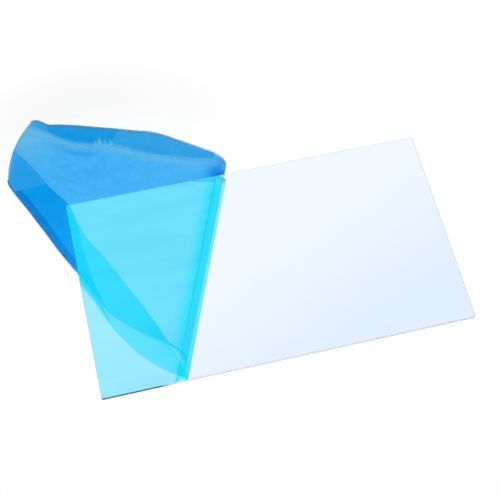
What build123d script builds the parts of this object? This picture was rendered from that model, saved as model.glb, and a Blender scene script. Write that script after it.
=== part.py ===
from build123d import *
import os

# Glass plate: lies flat, reflecting coat on the upper face
plate_length = 300.0
plate_width = 170.0
plate_thickness = 3.0
edge_seam = 0.4
corner_radius = 1.5

# Protective film, still bonded left of the peel front and folded back over the plate's left end
film_thickness = 0.15
peel_front_near = 57.8
peel_front_far = 128.2
fold_radius = 0.6

# Flap's near edge, from the peel front over the loop and down along the fold to the far left end:
# x and y from the plate's front left corner, rise above the coated face
near_edge = [
    (61.2, 1.8, 5.6),
    (64.8, 3.6, 12.4),
    (66.2, 6.6, 20.2),
    (65.6, 10.8, 28.0),
    (61.4, 15.9, 32.9),
    (55.2, 21.0, 34.0),
    (42.0, 32.0, 31.6),
    (28.8, 46.6, 25.4),
    (15.5, 68.0, 16.4),
    (-3.9, 109.5, 12.0),
    (-24.0, 155.5, 7.8),
    (-42.0, 199.0, 3.6),
]

# The same stations along its far edge: x from the plate's left edge, y from its back edge,
# height above the plane that the plate lies on
far_edge = [
    (132.4, -0.2, 8.2),
    (135.8, 0.3, 13.0),
    (136.6, 1.7, 18.2),
    (134.6, 4.2, 22.2),
    (129.6, 9.2, 23.8),
    (122.2, 14.8, 23.2),
    (105.0, 28.0, 21.0),
    (81.0, 43.8, 18.2),
    (52.0, 56.0, 15.2),
    (22.0, 67.6, 12.4),
    (-1.5, 75.4, 10.3),
    (-15.0, 82.0, 9.0),
]

# Raw edge of the side that is folded under, from the top of the loop on:
# it rests on the bonded film, and past the plate's back left corner it hangs close to the bench
fold_start = 6
under_edge = [
    (57.2, 38.0, 0.5),
    (49.6, 57.5, 0.5),
    (40.0, 79.5, 0.5),
    (27.5, 107.0, 0.5),
    (10.5, 141.5, 0.5),
    (-7.0, 183.5, 0.4),
    (-32.4, 231.5, -2.3),
]


def on_plate(x, y, rise):
    return Vector(x - plate_length / 2, y - plate_width / 2, plate_thickness + rise)


def behind_plate(x, y, height):
    return Vector(x - plate_length / 2, y + plate_width / 2, height)


def make_plate():
    plate = extrude(RectangleRounded(plate_length, plate_width, corner_radius), plate_thickness)
    rims = plate.faces().filter_by(Axis.Z).edges()
    return chamfer(rims, edge_seam)


def shared_stations(near, far):
    stations = [0.0]
    for index in range(1, len(near)):
        near_step = (near[index] - near[index - 1]).length
        far_step = (far[index] - far[index - 1]).length
        stations.append(stations[-1] + near_step + far_step)
    return stations


def offset_points(points, curve, rulings):
    moved = []
    for point, ruling in zip(points, rulings):
        normal = curve.tangent_at(point).cross(ruling).normalized()
        moved.append(point + normal * film_thickness)
    return moved


# A long body with four ruled sides, each between two neighbouring rims, and a face across each end
def ruled_body(rims):
    faces = [Face.make_surface_from_curves(a, b) for a, b in zip(rims, rims[1:] + rims[:1])]
    for end in (0, 1):
        corners = [rim.position_at(end) for rim in rims]
        near_side = Edge.make_line(corners[0], corners[3])
        far_side = Edge.make_line(corners[1], corners[2])
        faces.append(Face.make_surface_from_curves(near_side, far_side))
    return Solid(Shell(faces))


# A sheet of film ruled from its near edge to its far edge, as thick as the film on its inner side
def ruled_sheet(near, far, stations):
    rulings = [b - a for a, b in zip(near, far)]
    near_outer = Edge.make_spline(near, parameters=stations)
    far_outer = Edge.make_spline(far, parameters=stations)
    near_inner = Edge.make_spline(offset_points(near, near_outer, rulings), parameters=stations)
    far_inner = Edge.make_spline(offset_points(far, far_outer, rulings), parameters=stations)
    return ruled_body([near_outer, far_outer, far_inner, near_inner])


# The fold itself: a slim hem around the fold line, of diamond section
def folded_hem(points, stations):
    across = Vector(0.91, 0.41, 0) * fold_radius
    upward = Vector(0, 0, fold_radius)
    rims = []
    for step in (across, upward, -across, -upward):
        moved = [point + step for point in points]
        rims.append(Edge.make_spline(moved, parameters=stations))
    return ruled_body(rims)


def make_film():
    near_corner = on_plate(peel_front_near, edge_seam, 0)
    far_corner = on_plate(peel_front_far, plate_width - edge_seam, 0)
    left_near = on_plate(edge_seam, edge_seam, 0)
    left_far = on_plate(edge_seam, plate_width - edge_seam, 0)
    bonded_outline = Polyline(left_near, near_corner, far_corner, left_far, close=True)
    bonded = extrude(make_face(bonded_outline), film_thickness, dir=(0, 0, 1))

    near = [near_corner] + [on_plate(*point) for point in near_edge]
    far = [far_corner] + [behind_plate(*point) for point in far_edge]
    stations = shared_stations(near, far)
    flap = ruled_sheet(near, far, stations)

    # The folded side hangs from the flap's near edge
    folded = near[fold_start:]
    folded_stations = stations[fold_start:]
    under = ruled_sheet(folded, [on_plate(*point) for point in under_edge], folded_stations)
    return bonded + flap + folded_hem(folded, folded_stations) + under


os.makedirs("parts", exist_ok=True)
export_step(make_plate(), "parts/mirror_plate.step")
export_step(make_film(), "parts/protective_film.step")
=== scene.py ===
import bpy
import bmesh
import math
import numpy as np
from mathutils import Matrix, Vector


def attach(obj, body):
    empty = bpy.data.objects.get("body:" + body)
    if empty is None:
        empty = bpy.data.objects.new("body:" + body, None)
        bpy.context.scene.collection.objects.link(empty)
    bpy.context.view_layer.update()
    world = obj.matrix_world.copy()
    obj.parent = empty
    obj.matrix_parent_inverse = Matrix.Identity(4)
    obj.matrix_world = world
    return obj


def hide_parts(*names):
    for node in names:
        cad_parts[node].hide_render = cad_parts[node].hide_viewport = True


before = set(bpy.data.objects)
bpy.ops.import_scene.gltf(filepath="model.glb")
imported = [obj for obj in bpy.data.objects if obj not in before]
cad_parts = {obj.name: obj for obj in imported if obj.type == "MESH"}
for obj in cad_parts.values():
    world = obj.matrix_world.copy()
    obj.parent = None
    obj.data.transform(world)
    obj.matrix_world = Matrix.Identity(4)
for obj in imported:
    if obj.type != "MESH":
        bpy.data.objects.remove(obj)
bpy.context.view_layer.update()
scene = bpy.context.scene
print("frame loaded:", ", ".join(sorted(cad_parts)))

plate = {"length": 300.0, "width": 170.0, "thickness": 3.0}   # mm


def toFrame(points):
    # plate millimetres (x and y from its front left corner, rise over its coat) to frame metres
    middle = np.array([plate["length"] / 2, plate["width"] / 2, -plate["thickness"]])
    return (np.asarray(points, float) - middle) / 1000


# The camera stands where the photograph was taken from
view = {
    "place": (-0.1181, -0.3381, 0.7725),
    "turn": (25.587, -1.624, -13.609),   # degrees
    "focalLength": 75.63,
    "sensorWidth": 36.0,
    "nearest": 0.01,
    "furthest": 50,
}
camera = bpy.data.objects.new("photoCamera", bpy.data.cameras.new("photoCamera"))
camera.data.lens = view["focalLength"]
camera.data.sensor_width = view["sensorWidth"]
camera.data.clip_start = view["nearest"]
camera.data.clip_end = view["furthest"]
camera.location = view["place"]
camera.rotation_euler = [math.radians(angle) for angle in view["turn"]]
scene.collection.objects.link(camera)
scene.camera = camera

scene.view_settings.view_transform = "Standard"
scene.cycles.transparent_max_bounces = 48   # the folded film has up to five layers, seen twice in the mirror


# Node trees: each helper adds one node and wires what it is given, a socket or a plain value
def addNode(tree, kind, inputs=None, **settings):
    node = tree.nodes.new(kind)
    for name, value in settings.items():
        setattr(node, name, value)
    for name, value in (inputs or {}).items():
        socket = node.inputs[name]
        if isinstance(value, bpy.types.NodeSocket):
            tree.links.new(value, socket)
        else:
            socket.default_value = value
    return node


def calc(tree, operation, *values, clamp=False):
    node = addNode(tree, "ShaderNodeMath", dict(enumerate(values)), operation=operation, use_clamp=clamp)
    return node.outputs[0]


def ramp(tree, value, fromLow, fromHigh, toLow, toHigh):
    names = ("Value", "From Min", "From Max", "To Min", "To Max")
    inputs = dict(zip(names, (value, fromLow, fromHigh, toLow, toHigh)))
    return addNode(tree, "ShaderNodeMapRange", inputs, clamp=True).outputs[0]


def blend(tree, share, first, second):
    # the mix node's sockets for colours have the numbers 6, 7 and, going out, 2
    return addNode(tree, "ShaderNodeMix", {0: share, 6: first, 7: second}, data_type="RGBA").outputs[2]


def noise(tree, place, scale, detail=2.0, roughness=0.5):
    inputs = {"Vector": place, "Scale": scale, "Detail": detail, "Roughness": roughness}
    return addNode(tree, "ShaderNodeTexNoise", inputs).outputs[0]


def stretched(tree, place, scale, turn=(0, 0, 0)):
    inputs = {"Vector": place, "Scale": scale, "Rotation": turn}
    return addNode(tree, "ShaderNodeMapping", inputs).outputs[0]


def bumpOf(tree, height, strength, distance):
    inputs = {"Height": height, "Strength": strength, "Distance": distance}
    return addNode(tree, "ShaderNodeBump", inputs).outputs[0]


def mixShaders(tree, share, first, second):
    return addNode(tree, "ShaderNodeMixShader", {0: share, 1: first, 2: second}).outputs[0]


def seenRays(tree):
    # 1 where a surface is looked at, directly or in the mirror, and 0 where it only gives light
    ray = addNode(tree, "ShaderNodeLightPath").outputs
    seen = calc(tree, "MAXIMUM", ray["Is Camera Ray"], ray["Is Glossy Ray"])
    return calc(tree, "MAXIMUM", seen, ray["Is Transmission Ray"])


def newMaterial(name):
    material = bpy.data.materials.new(name)
    material.use_nodes = True
    tree = material.node_tree
    tree.nodes.clear()
    return material, tree


# The room: white to the camera, a pale cool sky in the mirror, and one soft lamp beside the camera
room = {
    "skyNear": (0.81, 0.885, 0.99, 1),     # the mirror's near right corner reflects this
    "skyFar": (0.935, 0.972, 1.0, 1),
    "skyTurn": (2.5, -9.0, 3.15),          # weights of the direction's x and y, and a constant
    "clouds": 0.5,
    "ambient": (1.0, 1.0, 1.0, 1),
    "ambientStrength": 0.08,
    "lampPower": 9.0,
    "lampSize": 0.09,
    "lampShift": (0.02, 0.01, 0.0),        # from the camera
    "lampAim": (-0.12, 0.10, 0.0),
    "bench": (0.98, 0.98, 0.98, 1),
    "benchRoughness": 0.9,
    "benchHalf": 6,
    "filmCentre": (-0.12, 0.06, 0.0),
    "plainFrom": (0.118, 0.165),           # distance from there at which the bench turns plain white
}
white = (1, 1, 1, 1)


def makeWorld(look):
    world = bpy.data.worlds.new("studio")
    world.use_nodes = True
    tree = world.node_tree
    tree.nodes.clear()
    direction = addNode(tree, "ShaderNodeTexCoord").outputs["Generated"]
    ray = addNode(tree, "ShaderNodeLightPath").outputs
    clouds = noise(tree, direction, 1.6, 1.5, 0.45)
    byX, byY, constant = look["skyTurn"]
    split = addNode(tree, "ShaderNodeSeparateXYZ", {0: direction}).outputs
    turn = calc(tree, "MULTIPLY_ADD", split["Y"], byY, constant)
    turn = calc(tree, "MULTIPLY_ADD", split["X"], byX, turn)
    turn = calc(tree, "MULTIPLY_ADD", clouds, look["clouds"], turn)
    sky = blend(tree, ramp(tree, turn, 0, 1, 0, 1), look["skyFar"], look["skyNear"])
    seen = blend(tree, ray["Is Camera Ray"], sky, white)
    shown = addNode(tree, "ShaderNodeBackground", {"Color": seen, "Strength": 1.0}).outputs[0]
    ambient = {"Color": look["ambient"], "Strength": look["ambientStrength"]}
    lit = addNode(tree, "ShaderNodeBackground", ambient).outputs[0]
    addNode(tree, "ShaderNodeOutputWorld", {"Surface": mixShaders(tree, seenRays(tree), lit, shown)})
    return world


def makeLamp(look):
    light = bpy.data.lights.new("softLamp", "AREA")
    light.shape = "DISK"
    light.energy = look["lampPower"]
    light.size = look["lampSize"]
    holder = bpy.data.objects.new("softLamp", light)
    place = np.array(view["place"]) + look["lampShift"]
    aim = np.array(look["lampAim"]) - place
    holder.location = place
    holder.rotation_euler = Vector(aim).to_track_quat("-Z", "Y").to_euler()
    holder.visible_glossy = False   # the mirror shows the sky, not the lamp
    scene.collection.objects.link(holder)


def makeBench(look):
    bench = bpy.data.meshes.new("bench")
    half = look["benchHalf"]
    corners = [(-half, -half, 0), (half, -half, 0), (half, half, 0), (-half, half, 0)]
    bench.from_pydata(corners, [], [(0, 1, 2, 3)])
    holder = bpy.data.objects.new("bench", bench)
    scene.collection.objects.link(holder)
    material, tree = newMaterial("paleBench")
    lit = addNode(tree, "ShaderNodeBsdfPrincipled", {
        "Base Color": look["bench"], "Roughness": look["benchRoughness"],
    }).outputs[0]
    glow = addNode(tree, "ShaderNodeEmission", {"Color": white, "Strength": 1.0}).outputs[0]

    # White to the eye away from the film, and a lit surface that keeps its shadow around it
    place = addNode(tree, "ShaderNodeTexCoord").outputs["Object"]
    away = addNode(tree, "ShaderNodeVectorMath", {0: place, 1: look["filmCentre"]}, operation="DISTANCE")
    plain = ramp(tree, away.outputs["Value"], *look["plainFrom"], 0, 1)
    share = calc(tree, "MULTIPLY", seenRays(tree), plain)
    addNode(tree, "ShaderNodeOutputMaterial", {"Surface": mixShaders(tree, share, lit, glow)})
    bench.materials.append(material)


scene.world = makeWorld(room)
makeLamp(room)
makeBench(room)
print("camera, room and bench ready")


# The film lies as it does in the photograph: bonded at the left, round a loop, back over the left end.
# Points are x and y from the plate's front left corner and the rise over its coat, in mm.
# The near and far lines share their stations: each ruling of the flap joins a point to its partner.
film = {
    "inset": 0.4,          # the bonded part stops at the seamed rim
    "nearLine": [
        (57.8, 0.4, 0.1), (61.8, 1.8, 5.6), (65.8, 3.6, 12.4), (67.4, 6.6, 20.2),
        (66.8, 10.8, 28.0), (62.2, 15.9, 32.9), (55.2, 21.0, 34.0), (42.0, 32.0, 31.6),
        (28.8, 46.6, 25.4), (17.3, 63.4, 17.2), (13.3, 72.5, 15.6), (7.8, 86.1, 14.9),
        (-0.3, 102.7, 13.6), (-10.1, 123.1, 11.6), (-19.1, 144.4, 9.6), (-31.5, 172.8, 6.8),
        (-39.2, 189.7, 4.8), (-42.1, 197.8, 3.9), (-42.6, 202.0, 3.6),
    ],
    "farLine": [
        (128.2, 169.6, 0.1), (132.4, 169.8, 5.2), (135.8, 170.3, 10.0), (136.7, 172.3, 14.2),
        (135.0, 175.9, 16.2), (130.0, 181.4, 16.8), (122.0, 187.0, 17.0), (106.4, 197.9, 16.7),
        (84.8, 212.5, 15.6), (67.3, 219.7, 13.8), (55.4, 224.7, 12.6), (45.0, 228.7, 11.6),
        (32.9, 233.4, 10.5), (20.8, 237.9, 9.5), (8.6, 241.9, 8.5), (-1.2, 245.0, 7.6),
        (-5.8, 249.0, 7.0), (-10.5, 252.0, 6.5), (-14.8, 251.9, 6.2),
    ],
    "foldStart": 3,
    "underLine": [         # from the fold's start: where the side that is folded under ends, in plan
        (61.0, 29.0), (60.4, 30.8), (59.4, 32.5), (57.4, 37.5), (50.5, 55.5), (42.5, 74.0),
        (35.0, 90.5), (30.5, 100.5), (24.7, 113.4), (13.4, 134.3), (8.0, 150.0), (3.6, 168.5),
        (-4.6, 182.5), (-11.5, 194.5), (-21.1, 213.5), (-33.1, 232.7),
    ],
    "overStart": 5,
    "overLine": [          # from there: the raw border of the side that is folded over, in plan
        (129.2, 174.2), (121.1, 175.7), (104.5, 180.6), (82.6, 189.0), (66.6, 197.8),
        (56.2, 205.7), (44.5, 211.3), (31.5, 214.9), (18.8, 219.9), (7.2, 227.2),
        (-1.8, 235.3), (-7.2, 239.6), (-12.5, 243.8), (-16.4, 246.9),
    ],
    "nearTurn": 1.2,       # radius of the fold under, where there is room for it
    "farTurn": 0.8,
    "flapColumns": 150,
    "flapRows": 72,
    "endBulge": 5.2,       # how far the flap's left end bows out
    "onPlate": 0.35,       # rise of a layer that rests on the bonded film
    "onBench": -2.6,
    "overGap": 0.3,        # between the flap and the layer that is folded over it
    "borderGap": 0.35,
}

# Layers that lie within a fold: stations, and how far in from the fold they reach at each, as a share
tuck = {
    "stations": (9.3, 10, 11, 12, 13, 14, 16),
    "reach": (0.0, 0.06, 0.16, 0.59, 0.95, 1.0, 1.0),
    "lift": 0.3,
    "layer": 3.0,
}
hem = {
    "stations": (9.3, 11, 12, 14, 16),
    "reach": (0.0, 0.14, 0.2, 0.2, 0.22),
    "lift": 0.6,
    "layer": 4.0,
}
overlap = {
    "startAtFold": 9.85,
    "startAtBorder": 11.06,
    "end": 15.0,
    "reach": 0.985,
    "lift": 0.12,
    "layer": 3.0,
}

# Small tears in the raw border of the folded side: station, half width in stations, depth as a share
tears = ((10.78, 0.13, 0.20), (11.15, 0.11, 0.27), (11.47, 0.17, 0.38), (11.74, 0.10, 0.22))

# A painted shadow under the raw border: a darker lens in plan, with no fold in the sheet. Its lower side has
# this y at both ends but for the slope, and sags between them
paintedShadowLens = {"middle": 22.0, "half": 19.0, "lowerY": 214.5, "sag": 9.0, "slope": 0.35}

# Where the film is whiter (painted highlights and sheen), deeper in colour (painted shade round the loop,
# and towards its near corner) or darker (painted shade along the outline): pairs are station numbers that it
# changes between
marks = {
    # painted highlights: glints at the tears and a bright line along the raw border
    "tornGlint": 2.0,
    "tornReach": 6.0,
    "tornOver": 3.5,
    "borderHighlight": 0.6,
    "borderReach": 3.2,
    # painted sheen outside the raw border: whiter, and less deep in colour
    "paleFrom": (5.4, 6.6),
    "paleReach": 8.0,
    "paleWhite": 0.42,
    "paleDepth": 0.22,
    "highlightShare": 0.8,
    # painted shade round the loop's bend, less of it off the plate
    "bendRise": (3.4, 4.2),
    "bendFall": (4.3, 6.0),
    "bendShadeDepth": 1.1,
    "bendOffPlate": 0.8,
    # painted shadow in the lens under the raw border
    "paintedShadowDepth": 0.28,
    "cornerFall": (2.6, 4.4),
    "deepest": 1.3,
    # painted shade along the outline: both folds and the loop's far end
    "nearFoldDark": (11.5, 13),
    "farFoldDark": (5, 7.5),
    "loopDark": {"middle": 3.2, "half": 1.1, "strength": 1.8},
}

# Creases of the flap, from point to point in plan: how wide and how high the ridge is
creases = (
    {"start": (20.0, 150.0), "end": (53.0, 62.0), "width": 4.5, "height": 0.55},
    {"start": (9.0, 168.0), "end": (22.0, 128.0), "width": 3.0, "height": 0.5},
    {"start": (24.0, 196.0), "end": (2.0, 236.0), "width": 6.0, "height": 0.6},
    {"start": (70.0, 182.0), "end": (118.0, 178.0), "width": 2.5, "height": 0.35},
    {"start": (86.0, 176.0), "end": (122.0, 172.0), "width": 1.6, "height": 0.25},
)


def stationsOf(first, second):
    # both lines share their stations: the mean distance along the two, from 0 to 1
    steps = [np.linalg.norm(np.diff(np.asarray(line, float), axis=0), axis=1) for line in (first, second)]
    along = np.r_[0, np.cumsum((steps[0] + steps[1]) / 2)]
    return along / along[-1]


def lineThrough(points, stations):
    # a cubic Hermite stretch between each two points, whose end slopes are the centred ones there
    points = np.asarray(points, float)
    slopes = np.gradient(points, stations, axis=0)

    def place(at):
        at = np.asarray(at, float)
        index = np.clip(np.searchsorted(stations, at, side="right") - 1, 0, len(stations) - 2)
        span = (stations[index + 1] - stations[index])[..., None]
        t = np.clip((at - stations[index])[..., None] / span, 0, 1)
        return (
            points[index] * (1 + 2 * t) * (1 - t) ** 2
            + slopes[index] * span * t * (1 - t) ** 2
            + points[index + 1] * t**2 * (3 - 2 * t)
            + slopes[index + 1] * span * t**2 * (t - 1)
        )

    return place


def easing(value, low, high):
    # 0 below low, 1 above high, and a smooth S between
    t = np.clip((value - low) / (high - low), 0, 1)
    return t * t * (3 - 2 * t)


def withRise(places, rise):
    # places in plan, each with its rise
    return np.concatenate([places, rise[..., None]], -1)


def ruled(first, second, shares):
    # straight rulings from one border to the other, cut at the given shares of their length
    shares = np.asarray(shares, float)
    if shares.ndim == 1:
        shares = shares[:, None]
    return first + shares[..., None] * (second - first)


def restRise(x, y):
    # what a lower layer lies on: the bonded film over the plate, and beyond its edges the bench
    over = easing(x, -20, -0.5) * (1 - easing(y, 170.5, 195))
    return film["onBench"] + (film["onPlate"] - film["onBench"]) * over


def sideways(line, at):
    # level unit vectors square to the line, towards the inside of the flap when it lies to the right
    step = line(np.minimum(at + 1e-3, 1)) - line(np.maximum(at - 1e-3, 0))
    step = step / (np.linalg.norm(step[..., :2], axis=-1)[..., None] + 1e-12)
    return np.stack([step[..., 1], -step[..., 0], np.zeros_like(step[..., 0])], -1)


stations = stationsOf(film["nearLine"], film["farLine"])
nearAt = lineThrough(film["nearLine"], stations)
farAt = lineThrough(film["farLine"], stations)
underAt = lineThrough(film["underLine"], stations[film["foldStart"]:])
overAt = lineThrough(film["overLine"], stations[film["overStart"]:])


def stationShare(number):
    # a station's number, whole or between two, to its place along the lines
    return np.interp(number, np.arange(len(stations)), stations)


def easingAt(at, first, last):
    # the S between two station numbers
    return easing(at, stationShare(first), stationShare(last))


def nearRadius(at):
    line = nearAt(at)
    room = np.clip(line[..., 2] - restRise(line[..., 0], line[..., 1]), 0.6, None)
    opened = easingAt(at, film["foldStart"] - 1, film["foldStart"] + 1.5)
    return np.minimum(film["nearTurn"], 0.2 * room) * opened


def farRadius(at):
    return film["farTurn"] * easingAt(at, 4, 6)


def turnRow(line, inward, radius, angle):
    # one row of a fold: a circle square to the fold line, whose axis runs its radius inside that line
    angle = math.radians(angle)
    upward = np.array([0, 0, math.sin(angle)])
    return line + (inward * (1 - math.cos(angle)) + upward) * radius[..., None]


def nearFold(at, angle):
    radius = nearRadius(at)
    axis = nearAt(at) - np.array([0, 0, 1.0]) * radius[..., None]
    return turnRow(axis, sideways(nearAt, at), radius, angle)


def farFold(at, angle):
    radius = farRadius(at)
    axis = farAt(at) + np.array([0, 0, 1.0]) * radius[..., None]
    return turnRow(axis, -sideways(farAt, at), radius, angle)


def ridges(x, y):
    # each crease is a bell across its line that fades in and out along it
    rise = np.zeros_like(x)
    for crease in creases:
        start = np.array(crease["start"])
        run = np.array(crease["end"]) - start
        length = np.hypot(*run)
        along = ((x - start[0]) * run[0] + (y - start[1]) * run[1]) / length
        across = ((x - start[0]) * run[1] - (y - start[1]) * run[0]) / length
        fade = easing(along, -6, 14) * (1 - easing(along, length - 14, length + 6))
        rise += crease["height"] * fade * np.exp(-(across / crease["width"]) ** 2)
    return rise


def flapSheet(at, shares):
    # the flap between its two folds: ruled, bowed out at the left end, creased, and never below its rest
    first = nearAt(at) + sideways(nearAt, at) * nearRadius(at)[..., None]
    second = farAt(at) - sideways(farAt, at) * farRadius(at)[..., None]
    sheet = ruled(first, second, shares)
    middle = np.sin(np.pi * np.asarray(shares, float))
    middle = middle[:, None] if middle.ndim == 1 else middle
    bulge = film["endBulge"] * middle**0.8 * easing(at, 0.75, 1.0)
    sheet[..., 0] -= bulge * 0.86
    sheet[..., 1] += bulge * 0.5
    lying = easingAt(at, 6, 8) * easing(middle, 0, 0.25)
    sheet[..., 2] += ridges(sheet[..., 0], sheet[..., 1]) * lying
    floorRise = restRise(sheet[..., 0], sheet[..., 1]) + 1.0 * easing(at, 0, 0.12)
    sheet[..., 2] = np.maximum(sheet[..., 2], floorRise)
    return sheet


def underSheet(at, shares):
    # the side that is folded under: it hangs from the fold to its raw border, which lies on what is below
    border = underAt(at)
    border = withRise(border, restRise(border[..., 0], border[..., 1]))
    sheet = ruled(nearFold(at, -90), border, shares)
    floorRise = restRise(sheet[..., 0], sheet[..., 1])
    sheet[..., 2] = np.maximum(sheet[..., 2], floorRise)
    return sheet


def surfaceRise(grid, places, count=12, bell=2.0):
    # rise of a sheet at places in plan: its nearest grid points, weighted by a bell over the distance
    flat = grid.reshape(-1, 3)
    spots = places.reshape(-1, places.shape[-1])
    gap = np.linalg.norm(spots[:, None, :2] - flat[None, :, :2], axis=2)
    nearest = np.argpartition(gap, count, axis=1)[:, :count]
    weight = np.exp(-(np.take_along_axis(gap, nearest, 1) / bell) ** 2) + 1e-9
    rise = (flat[nearest, 2] * weight).sum(1) / weight.sum(1)
    return rise.reshape(places.shape[:-1])


def gridFaces(rows, columns, offset=0):
    # four-sided faces of a grid that is stored row by row
    corner = (np.arange(rows - 1)[:, None] * columns + np.arange(columns - 1)[None]).ravel() + offset
    return np.stack([corner, corner + 1, corner + columns + 1, corner + columns], 1)


def edgeWhite(grid, width=0.9):
    # 1 on the last row of a grid and 0 from the given distance inside it
    gap = np.linalg.norm(grid - grid[-1:], axis=-1)
    return np.clip(1 - gap / width, 0, 1)


def tearNotch(at):
    # how far the raw border is torn back at each station, as a share of the folded side's width
    depth = np.zeros_like(at)
    for station, half, share in tears:
        middle = stationShare(station)
        reach = stationShare(station + half) - middle
        depth = np.maximum(depth, share * np.clip(1 - np.abs(at - middle) / reach, 0, 1))
    return depth


def paintedShadowDepth(x, y):
    # the painted shadow is deepest along its lower side
    along = (x - paintedShadowLens["middle"]) / paintedShadowLens["half"]
    lower = paintedShadowLens["lowerY"] - paintedShadowLens["sag"] * (1 - along**2) + paintedShadowLens["slope"] * (paintedShadowLens["middle"] - x)
    inside = easing(y, lower - 0.8, lower + 1.2) * (1 - easing(y, lower + 1.5, lower + 8.0))
    return inside * np.clip(1 - along**2, 0, 1)


def foldedOver(at, flap, fold):
    # the layer that is folded over lies on the flap, out to its torn raw border
    first = stationShare(film["overStart"])
    border = overAt(np.maximum(at, first))
    border = withRise(border, surfaceRise(flap, border) + film["borderGap"])
    border = fold + (border - fold) * (1 - tearNotch(at))[:, None]
    border = np.where((at >= first)[:, None], border, fold)
    over = ruled(fold, border, np.r_[np.linspace(0.08, 0.94, 12), 0.97, 1.0])
    over[..., 2] = np.maximum(over[..., 2], surfaceRise(flap, over) + film["overGap"])
    return border, over


def paintedSheenOutside(at, flap, border):
    # painted sheen, lighter and whiter: 1 on the flap outside the raw border, in a narrow band along it and
    # over the flap's left end
    line = border[at >= stationShare(film["overStart"] + 0.5)]
    gap = np.linalg.norm(flap[:, :, None, :2] - line[:, :2], axis=-1).min(-1)
    outside = easing(np.interp(flap[..., 0], line[::-1, 0], line[::-1, 1]) - flap[..., 1], -0.3, 0.6)
    outside = outside * easingAt(at, *marks["paleFrom"])[None]
    rows = np.linspace(0, 1, len(flap))[:, None]
    leftEnd = easing(at, 0.7, 1.0)[None] * easing(rows, 0.35, 0.7)
    return np.maximum(np.clip(1.1 - gap / marks["paleReach"], 0, 1), leftEnd) * outside


def depthWithPaintedShade(at, sheet):
    # deeper colour: painted shade where the flap bends round the loop, a painted shadow in the lens under
    # the raw border, and deeper colour towards the loop's near corner
    x, y = sheet[..., 0], sheet[..., 1]
    # painted shade round the loop's bend
    bend = easingAt(at, *marks["bendRise"]) * (1 - easingAt(at, *marks["bendFall"]))
    bend = marks["bendShadeDepth"] * bend[None] * (1 - marks["bendOffPlate"] * easing(y, 166, 171))
    depth = marks["paintedShadowDepth"] * paintedShadowDepth(x, y) + bend
    corner = (1 - easing(y, 4, 26)) * (1 - easingAt(at, *marks["cornerFall"]))[None]
    return np.minimum(depth + corner, marks["deepest"])


def paintedShadeEdges(at, sheet, lead, trail):
    # painted shade: the outline is darker along both folds and round the loop's far end
    dark = np.zeros(sheet.shape[:2])
    dark[:lead] = easingAt(at, *marks["nearFoldDark"])[None]
    dark[-trail:] = easingAt(at, *marks["farFoldDark"])[None]
    loop = marks["loopDark"]
    numbers = np.interp(at, stations, np.arange(len(stations)))
    share = np.clip(1.4 - np.abs(numbers - loop["middle"]) / loop["half"], 0, 1)
    return np.maximum(dark, loop["strength"] * share[None] * easing(sheet[..., 1], 169, 171.5))


def tuckedLayer(piece, rows=16, columns=90):
    # a further layer within the fold under, which reaches in from the fold as far as the piece says
    numbers = np.linspace(piece["stations"][0], piece["stations"][-1], columns)
    reach = np.interp(numbers, piece["stations"], piece["reach"])
    shares = np.linspace(0, 1, rows)[:, None]
    grid = underSheet(stationShare(numbers), shares * reach[None])
    grid[..., 2] += piece["lift"] * (1 - 0.5 * shares**4)
    return grid


def overlapLayer(flap, rows=12, columns=80):
    # the third layer within the fold over: its near end slants from the fold to the border
    shares = np.linspace(0, 1, rows)
    first = overlap["startAtFold"] + shares * (overlap["startAtBorder"] - overlap["startAtFold"])
    numbers = first[:, None] + np.linspace(0, 1, columns)[None] * (overlap["end"] - first)[:, None]
    places = stationShare(numbers)
    border = overAt(places)
    border = withRise(border, surfaceRise(flap, border) + film["borderGap"])
    reach = np.broadcast_to((shares * overlap["reach"])[:, None], places.shape) * (1 - tearNotch(places))
    grid = ruled(farFold(places, 90), border, reach)
    grid[..., 2] = np.maximum(grid[..., 2], surfaceRise(flap, grid) + film["overGap"]) - overlap["lift"]
    return grid


# Each point of the film's mesh has these values, which its material reads
attributes = ("layer", "white", "depth", "edge")


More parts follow.
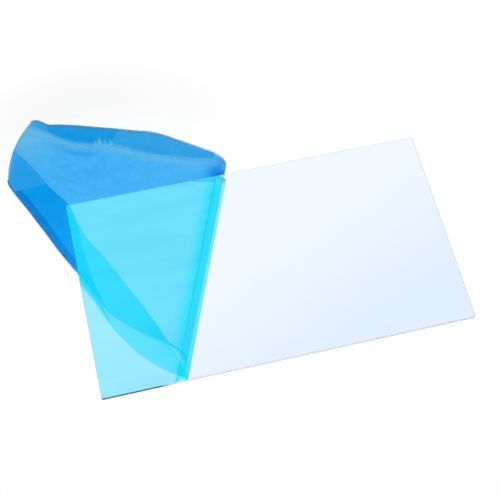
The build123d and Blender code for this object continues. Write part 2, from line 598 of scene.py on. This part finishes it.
def makeFilm():
    # each part of the film is a grid, with those values for its points; the parts become one mesh
    parts = []

    def add(grid, *values):
        shape = grid.shape[:2]
        values = values + (0.0,) * (len(attributes) - len(values))
        parts.append((grid, [np.broadcast_to(np.asarray(value, float), shape).ravel() for value in values]))

    loopEnd = stationShare(film["foldStart"])
    loopColumns = film["flapColumns"] // 3
    byTears = np.linspace(stationShare(9.5), stationShare(12.5), 90)
    at = np.unique(np.r_[
        np.linspace(0, loopEnd, loopColumns),
        np.linspace(loopEnd, 1, film["flapColumns"] - loopColumns),
        byTears,
    ])
    folded = at >= loopEnd

    # The sheet between its raw borders: folded under, round the near fold, flap, far fold, folded over
    turned = np.stack([nearFold(at, angle) for angle in np.linspace(-90, 75, 10)])
    flap = flapSheet(at, np.linspace(0, 1, film["flapRows"]))
    under = underSheet(at, np.r_[np.linspace(1, 0.04, 22), 0.0])
    under = np.where(folded[None, :, None], under, turned[:1])
    far = np.stack([farFold(at, angle) for angle in np.linspace(-75, 90, 9)])
    border, over = foldedOver(at, flap, far[-1])
    sheet = np.concatenate([turned, flap, far])
    lead, trail = len(turned), len(far)

    # Painted highlights: whiter at the tears, along the raw border and along the raw near edge, and a
    # painted sheen outside the raw border
    tornGlints = np.clip(tearNotch(at)[None] * marks["tornGlint"], 0, 1)
    gap = np.linalg.norm(flap[..., :2] - border[None, :, :2], axis=-1)
    flapHighlight = tornGlints * np.clip(1 - gap / marks["tornReach"], 0, 1)
    paintedSheen = paintedSheenOutside(at, flap, border)
    flapHighlight = np.maximum(flapHighlight, marks["paleWhite"] * paintedSheen)
    rawNearHighlight = (1 - easing(at, loopEnd * 0.85, loopEnd))[None] * edgeWhite(flap[::-1])[::-1]
    sheetHighlight = np.zeros(sheet.shape[:2])
    sheetHighlight[lead:-trail] = np.maximum(flapHighlight, rawNearHighlight) * marks["highlightShare"]
    overHighlight = np.maximum(
        marks["borderHighlight"] * edgeWhite(over, marks["borderReach"]),
        tornGlints * edgeWhite(over, marks["tornOver"]),
    )

    depth = depthWithPaintedShade(at, sheet)
    # the painted sheen also takes some depth off, so the film is lighter there
    depth[lead:-trail] -= marks["paleDepth"] * paintedSheen
    edge = paintedShadeEdges(at, sheet, lead, trail)
    # painted shade along the flap's left end as well
    leftEnd = edgeWhite(flap.transpose(1, 0, 2), 1.0).T
    edge[lead:-trail] = np.maximum(edge[lead:-trail], leftEnd)
    add(sheet, 1.0, sheetHighlight, depth, edge)
    add(np.concatenate([under, turned[:1]]), 2.0)
    add(np.concatenate([far[-1:], over]), 2.0, np.concatenate([np.zeros((1, len(at))), overHighlight]))

    # Third and fourth layers within the fold under, and the third one within the fold over
    for piece in (tuck, hem):
        add(tuckedLayer(piece), piece["layer"])
    add(overlapLayer(flap), overlap["layer"])

    # The bonded part: level rows from the plate's left rim to the peel front
    front = flap[:, 0]
    rim = np.stack([np.full(len(front), film["inset"]), front[:, 1], np.full(len(front), 0.1)], 1)
    add(ruled(rim, front, np.linspace(0, 1, 24)), 0.0)
    return parts


def meshOf(name, parts):
    mesh = bpy.data.meshes.new(name)
    vertices = np.concatenate([grid.reshape(-1, 3) for grid, _ in parts])
    offsets = np.cumsum([0] + [grid.shape[0] * grid.shape[1] for grid, _ in parts])
    faces = np.concatenate([
        gridFaces(grid.shape[0], grid.shape[1], start) for (grid, _), start in zip(parts, offsets)
    ])
    mesh.from_pydata(toFrame(vertices).tolist(), [], faces.tolist())
    for number, title in enumerate(attributes):
        values = np.concatenate([values[number] for _, values in parts])
        mesh.attributes.new(title, "FLOAT", "POINT").data.foreach_set("value", values)
    mesh.polygons.foreach_set("use_smooth", np.ones(len(mesh.polygons), bool))
    return mesh


def weld(mesh, distance):
    work = bmesh.new()
    work.from_mesh(mesh)
    bmesh.ops.remove_doubles(work, verts=work.verts, dist=distance)
    bmesh.ops.dissolve_degenerate(work, edges=work.edges, dist=distance / 2)
    work.to_mesh(mesh)
    work.free()


mesh = meshOf("protectiveFilm", makeFilm())
weld(mesh, 2e-6)
filmObject = bpy.data.objects.new("protectiveFilm", mesh)
scene.collection.objects.link(filmObject)
area = sum(face.area for face in mesh.polygons)
print("film:", len(mesh.polygons), "faces, square metres:", round(area, 5))

# The first three colours are what the film leaves of the light when it is looked through, by layer, and the
# shade colours what it leaves of the light that falls through it. Body is the surface's own colour; white is
# the colour of its painted highlights and sheen, and edge that of its painted shade.
filmLook = {
    "bonded": (0.637, 0.955, 1.0, 1),
    "flap": (0.70, 0.965, 1.0, 1),
    "folded": (0.52, 0.985, 1.0, 1),
    "shade": (0.07, 0.43, 0.85, 1),
    "shadeFolded": (0.70, 0.80, 0.90, 1),
    "shadeTucked": (0.04, 0.93, 1.0, 1),
    "shadeHem": (0.5, 0.62, 0.76, 1),
    "body": (0.04, 0.50, 0.95, 1),
    "white": (0.58, 1.0, 1.0, 1),
    "edge": (0.06, 0.20, 0.38, 1),
    "haze": 0.035,
    "foldedHaze": 0.35,
    "roughness": 0.16,
    "uneven": 0.035,
    "mottle": 0.13,
    "gloss": 0.22,
    "edgeShare": 0.22,
    "highlightShare": 0.45,
}


def filmMaterial(look):
    material, tree = newMaterial("blueFilm")
    place = addNode(tree, "ShaderNodeTexCoord").outputs["Object"]
    layer, paintedHighlight, depth, edge = [
        addNode(tree, "ShaderNodeAttribute", attribute_name=name).outputs["Fac"] for name in attributes
    ]
    ray = addNode(tree, "ShaderNodeLightPath").outputs
    facing = addNode(tree, "ShaderNodeLayerWeight", {"Blend": 0.3}).outputs["Facing"]

    # Tint: by layer, deeper where the ray meets the film aslant, and a little uneven like cast film
    lifted = ramp(tree, layer, 0, 1, 0, 1)
    folded = ramp(tree, layer, 1, 2, 0, 1)
    deepest = calc(tree, "MAXIMUM", folded, depth, clamp=True)
    through = blend(tree, deepest, blend(tree, lifted, look["bonded"], look["flap"]), look["folded"])
    shade = blend(tree, folded, look["shade"], look["shadeFolded"])
    for number, name in ((2, "shadeTucked"), (3, "shadeHem")):
        shade = blend(tree, ramp(tree, layer, number, number + 1, 0, 1), shade, look[name])
    isLight = calc(tree, "MAXIMUM", ray["Is Shadow Ray"], ray["Is Diffuse Ray"])
    tint = blend(tree, isLight, through, shade)
    streaks = noise(tree, stretched(tree, place, (14, 70, 40), (0, 0, 0.42)), 1.0, 3.0, 0.55)
    uneven = ramp(tree, streaks, 0.3, 0.7, -look["uneven"], look["uneven"])
    path = calc(tree, "ADD", ramp(tree, facing, 0.15, 0.7, 1.0, 2.0), uneven)
    # the depth attribute holds painted shade round the loop's bend and in the lens under the raw border, and
    # less depth for the painted sheen
    path = calc(tree, "ADD", path, depth)
    mottle = ramp(tree, noise(tree, place, 230, 3.0, 0.65), 0.3, 0.7, -look["mottle"], look["mottle"])
    path = calc(tree, "MULTIPLY_ADD", mottle, isLight, path)   # mottled in the light that it lets through
    deep = addNode(tree, "ShaderNodeGamma", {"Color": tint, "Gamma": path}).outputs[0]
    clear = addNode(tree, "ShaderNodeBsdfTransparent", {"Color": deep}).outputs[0]

    # Surface: faint haze and gloss with fine ripples, painted highlights where the film is cut or torn, a
    # painted sheen outside the raw border, and painted shade along the folds and outline
    ripple = noise(tree, stretched(tree, place, (60, 260, 160), (0, 0, 0.42)), 1.0, 3.0, 0.6)
    bump = bumpOf(tree, ripple, 0.12, 0.0006)
    speckle = noise(tree, place, 900, 2.0, 0.6)
    colour = blend(tree, edge, blend(tree, paintedHighlight, look["body"], look["white"]), look["edge"])
    rough = ramp(tree, speckle, 0.3, 0.7, look["roughness"] - 0.05, look["roughness"] + 0.08)
    sheen = addNode(tree, "ShaderNodeBsdfPrincipled", {
        "Base Color": colour, "Roughness": rough, "IOR": 1.45, "Normal": bump,
    }).outputs[0]
    haze = ramp(tree, streaks, 0.35, 0.75, look["haze"] * 0.6, look["haze"] * 1.5)
    haze = calc(tree, "MULTIPLY", haze, ramp(tree, folded, 0, 1, 1, look["foldedHaze"]))
    gloss = calc(tree, "MULTIPLY", calc(tree, "POWER", facing, 3.0), look["gloss"])
    gloss = calc(tree, "MULTIPLY", gloss, calc(tree, "SUBTRACT", 1.0, edge))
    share = calc(tree, "ADD", gloss, calc(tree, "MULTIPLY", edge, look["edgeShare"]))
    share = calc(tree, "ADD", haze, share)
    share = calc(tree, "ADD", share, calc(tree, "MULTIPLY", paintedHighlight, look["highlightShare"]), clamp=True)
    addNode(tree, "ShaderNodeOutputMaterial", {"Surface": mixShaders(tree, share, clear, sheen)})
    return material


mesh.materials.append(filmMaterial(filmLook))
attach(filmObject, "root")
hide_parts("protective_film")

# The plate: a coat that mirrors on top, and glass at the seamed rim
mirrorLook = {
    "coat": (0.945, 0.975, 1.0, 1),
    "worn": (0.925, 0.96, 0.995, 1),
    "glass": (0.62, 0.66, 0.70, 1),
    "tealGlass": (0.001, 0.05, 0.075, 1),
    "grind": (0.55, 0.58, 0.62, 1),
    "seam": (0.5, 0.46, 0.49, 1),
    "tealEnd": (-0.104, -0.092),       # x along which the front edge turns from teal to pale
    "frontEdge": (-0.0845, -0.083),    # y behind which the edges are pale
    "seamRise": 0.00262,
    "coatRise": 0.00299,
}


def mirrorMaterial(look):
    material, tree = newMaterial("frontSurfaceMirror")
    place = addNode(tree, "ShaderNodeTexCoord").outputs["Object"]
    split = addNode(tree, "ShaderNodeSeparateXYZ", {0: place}).outputs

    # Coat: nearly perfect, with faint wiped smudges and fine dust
    smudge = noise(tree, stretched(tree, place, (16, 30, 10), (0, 0, 0.6)), 1.0, 4.0, 0.6)
    dust = ramp(tree, noise(tree, place, 1500, 1.0, 0.5), 0.74, 0.80, 0, 1)
    colour = blend(tree, ramp(tree, smudge, 0.45, 0.75, 0, 0.6), look["coat"], look["worn"])
    rough = calc(tree, "ADD", ramp(tree, smudge, 0.45, 0.8, 0.0, 0.025), calc(tree, "MULTIPLY", dust, 0.15))
    ripple = noise(tree, place, 9, 1.0, 0.4)
    bump = bumpOf(tree, ripple, 0.02, 0.0005)
    coat = addNode(tree, "ShaderNodeBsdfPrincipled", {
        "Base Color": colour, "Metallic": 1.0, "Roughness": rough, "Normal": bump,
    }).outputs[0]

    # Glass: ground a little rough, teal along the front edge below the bonded film, and pale elsewhere
    grind = noise(tree, place, 2200, 2.0, 0.6)
    toRight = ramp(tree, split["X"], *look["tealEnd"], 0, 1)
    toBack = ramp(tree, split["Y"], *look["frontEdge"], 0, 1)
    bare = calc(tree, "MAXIMUM", toRight, toBack)
    colour = blend(tree, bare, look["tealGlass"], look["glass"])
    ground = calc(tree, "MULTIPLY", bare, ramp(tree, grind, 0.4, 0.7, 0.1, 0.25))
    colour = blend(tree, ground, colour, look["grind"])
    onSeam = calc(tree, "MULTIPLY", bare, calc(tree, "GREATER_THAN", split["Z"], look["seamRise"]))
    colour = blend(tree, onSeam, colour, look["seam"])
    rough = ramp(tree, grind, 0.3, 0.7, 0.25, 0.45)
    grain = bumpOf(tree, grind, 0.3, 0.0001)
    glass = addNode(tree, "ShaderNodeBsdfPrincipled", {
        "Base Color": colour, "Roughness": rough, "IOR": 1.3, "Normal": grain,
    }).outputs[0]
    onTop = calc(tree, "GREATER_THAN", split["Z"], look["coatRise"])
    addNode(tree, "ShaderNodeOutputMaterial", {"Surface": mixShaders(tree, onTop, glass, coat)})
    return material


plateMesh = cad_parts["mirror_plate"].data
plateMesh.materials.clear()
plateMesh.materials.append(mirrorMaterial(mirrorLook))
print("materials ready")
